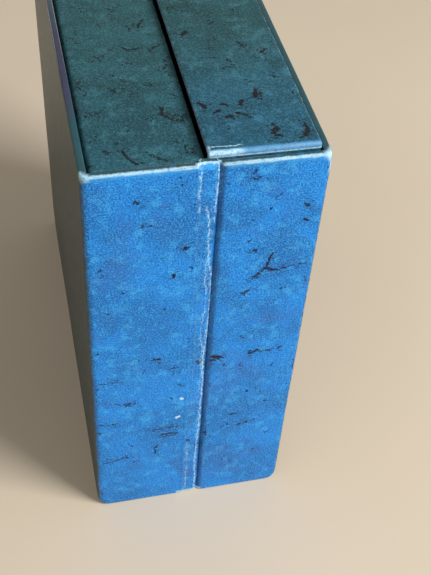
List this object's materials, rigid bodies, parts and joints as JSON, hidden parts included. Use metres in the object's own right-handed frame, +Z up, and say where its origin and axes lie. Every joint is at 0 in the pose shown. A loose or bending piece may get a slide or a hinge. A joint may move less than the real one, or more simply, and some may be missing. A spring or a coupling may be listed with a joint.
{
  "type": "ring binder",
  "caption": "Book-shaped box binder in covered board, opening on a double spine crease to two trays with a trigger-opened ring mechanism.",
  "frame": {"origin": "bottom centre of the closed case, on the surface it stands on", "axes": "+Z up (tail to head), +Y from the spine to the fore-edge, +X across the spine from the left cover to the right cover"},
  "size_m": [0.096, 0.222, 0.2283],
  "materials": {
    "greyboard": "matte",
    "printed_cover_paper": "satin",
    "printed_tray_paper": "satin",
    "lining_paper": "matte",
    "hinge_cloth": "matte",
    "magnet_metal": "satin",
    "plated_steel": "polished",
    "ring_wire": "polished"
  },
  "bodies": {
    "left_half": {"left_cover_board": "greyboard", "left_spine_board": "greyboard", "left_outer_wrap": "printed_cover_paper", "left_hinge_cloth": "hinge_cloth", "left_tray_base": "greyboard", "left_tray_head_wall": "greyboard", "left_tray_tail_wall": "greyboard", "left_tray_spine_wall": "greyboard", "left_tray_fore_wall": "greyboard", "left_tray_wrap": "printed_tray_paper", "left_tray_lining": "lining_paper", "left_magnets": "magnet_metal", "ring_housing": "plated_steel", "housing_rivets": "plated_steel"},
    "joint_strip": {"joint_paper": "printed_cover_paper", "joint_cloth": "hinge_cloth"},
    "right_half": {"right_cover_board": "greyboard", "right_spine_board": "greyboard", "right_outer_wrap": "printed_cover_paper", "right_hinge_cloth": "hinge_cloth", "right_tray_base": "greyboard", "right_tray_head_wall": "greyboard", "right_tray_tail_wall": "greyboard", "right_tray_spine_wall": "greyboard", "right_tray_fore_wall": "greyboard", "right_tray_wrap": "printed_tray_paper", "right_tray_lining": "lining_paper", "right_magnets": "magnet_metal"},
    "front_rail_and_rings": {"front_rail": "plated_steel", "front_rings": "ring_wire"},
    "back_rail_and_rings": {"back_rail": "plated_steel", "back_rings": "ring_wire"},
    "lower_trigger": {"bottom_trigger": "plated_steel"},
    "upper_trigger": {"top_trigger": "plated_steel"}
  },
  "joints": [
    {"name": "left_crease", "type": "hinge", "parent": "left_half", "child": "joint_strip", "pos_m": [-0.0035, -0.1082, 0.113], "axis": [0, 0, -1], "range_deg": [0, 90]},
    {"name": "right_crease", "type": "hinge", "parent": "joint_strip", "child": "right_half", "pos_m": [0.0035, -0.1082, 0.113], "axis": [0, 0, -1], "range_deg": [0, 90]},
    {"name": "front_rail_tip", "type": "hinge", "parent": "left_half", "child": "front_rail_and_rings", "pos_m": [-0.0394, -0.0746, 0.11315], "axis": [0, 0, -1], "range_deg": [0, 14]},
    {"name": "back_rail_tip", "type": "hinge", "parent": "left_half", "child": "back_rail_and_rings", "pos_m": [-0.0394, -0.0498, 0.11315], "axis": [0, 0, 1], "range_deg": [0, 14]},
    {"name": "lower_trigger_tip", "type": "hinge", "parent": "left_half", "child": "lower_trigger", "pos_m": [-0.0401, -0.0622, 0.01915], "axis": [0, 1, 0], "range_deg": [0, 28]},
    {"name": "upper_trigger_tip", "type": "hinge", "parent": "left_half", "child": "upper_trigger", "pos_m": [-0.0401, -0.0622, 0.20715], "axis": [0, -1, 0], "range_deg": [0, 28]}
  ],
  "couplings": [
    {"joint": "right_crease", "follows": "left_crease", "ratio": 1},
    {"joint": "back_rail_tip", "follows": "front_rail_tip", "ratio": 1},
    {"joint": "lower_trigger_tip", "follows": "front_rail_tip", "ratio": 2},
    {"joint": "upper_trigger_tip", "follows": "front_rail_tip", "ratio": 2}
  ]
}
